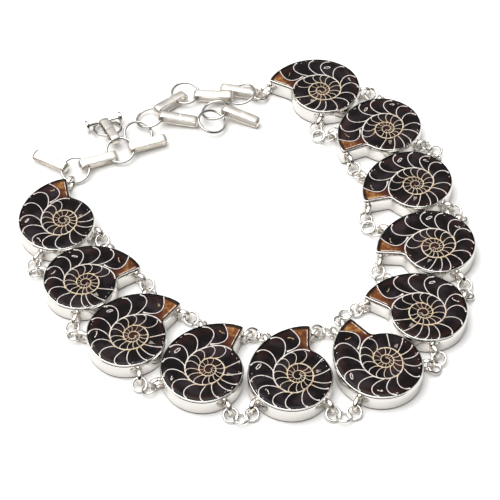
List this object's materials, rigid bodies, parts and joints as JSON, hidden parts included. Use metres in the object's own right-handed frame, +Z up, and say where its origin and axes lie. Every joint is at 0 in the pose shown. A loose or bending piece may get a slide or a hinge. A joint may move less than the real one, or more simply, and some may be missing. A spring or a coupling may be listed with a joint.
{
  "type": "ammonite fossil necklace",
  "caption": "Necklace of cut, polished ammonite halves in silver bezel cups, joined side by side by small jump rings and closed by a chain of large rings and strip links with a toggle bar",
  "frame": {"origin": "middle of the necklace's box, on the surface that it lies on", "axes": "+Z up, out of the polished faces; +Y towards the chain; +X to the right when the chain is at the back"},
  "size_m": [0.111, 0.1134, 0.0048],
  "materials": {
    "silver": "polished silver, lightly burnished, bright with soft dark reflections",
    "ammonite": "cut fossil polished to a gloss: near-black calcite chambers, pale cream chamber walls, brown and amber towards the opening"
  },
  "bodies": {
    "root": {"bezel_1": "silver", "bezel_2": "silver", "bezel_3": "silver", "bezel_4": "silver", "bezel_5": "silver", "bezel_6": "silver", "bezel_7": "silver", "bezel_8": "silver", "bezel_9": "silver", "bezel_10": "silver", "bezel_11": "silver", "ammonite_1": "ammonite", "ammonite_2": "ammonite", "ammonite_3": "ammonite", "ammonite_4": "ammonite", "ammonite_5": "ammonite", "ammonite_6": "ammonite", "ammonite_7": "ammonite", "ammonite_8": "ammonite", "ammonite_9": "ammonite", "ammonite_10": "ammonite", "ammonite_11": "ammonite", "outer_jump_rings_1": "silver", "outer_jump_rings_2": "silver", "outer_jump_rings_3": "silver", "outer_jump_rings_4": "silver", "outer_jump_rings_5": "silver", "outer_jump_rings_6": "silver", "outer_jump_rings_7": "silver", "outer_jump_rings_8": "silver", "outer_jump_rings_9": "silver", "outer_jump_rings_10": "silver", "inner_jump_rings_1": "silver", "inner_jump_rings_2": "silver", "inner_jump_rings_3": "silver", "inner_jump_rings_4": "silver", "inner_jump_rings_5": "silver", "inner_jump_rings_6": "silver", "inner_jump_rings_7": "silver", "inner_jump_rings_8": "silver", "inner_jump_rings_9": "silver", "inner_jump_rings_10": "silver", "chain_ring_1": "silver", "chain_ring_2": "silver", "chain_ring_3": "silver", "chain_ring_4": "silver", "chain_ring_5": "silver", "chain_ring_6": "silver", "chain_ring_7": "silver", "chain_ring_8": "silver", "chain_ring_9": "silver", "chain_link_1": "silver", "chain_link_2": "silver", "chain_link_3": "silver", "chain_link_4": "silver", "chain_link_5": "silver", "chain_link_6": "silver", "chain_link_7": "silver", "chain_link_8": "silver", "toggle_bar": "silver"}
  },
  "joints": []
}
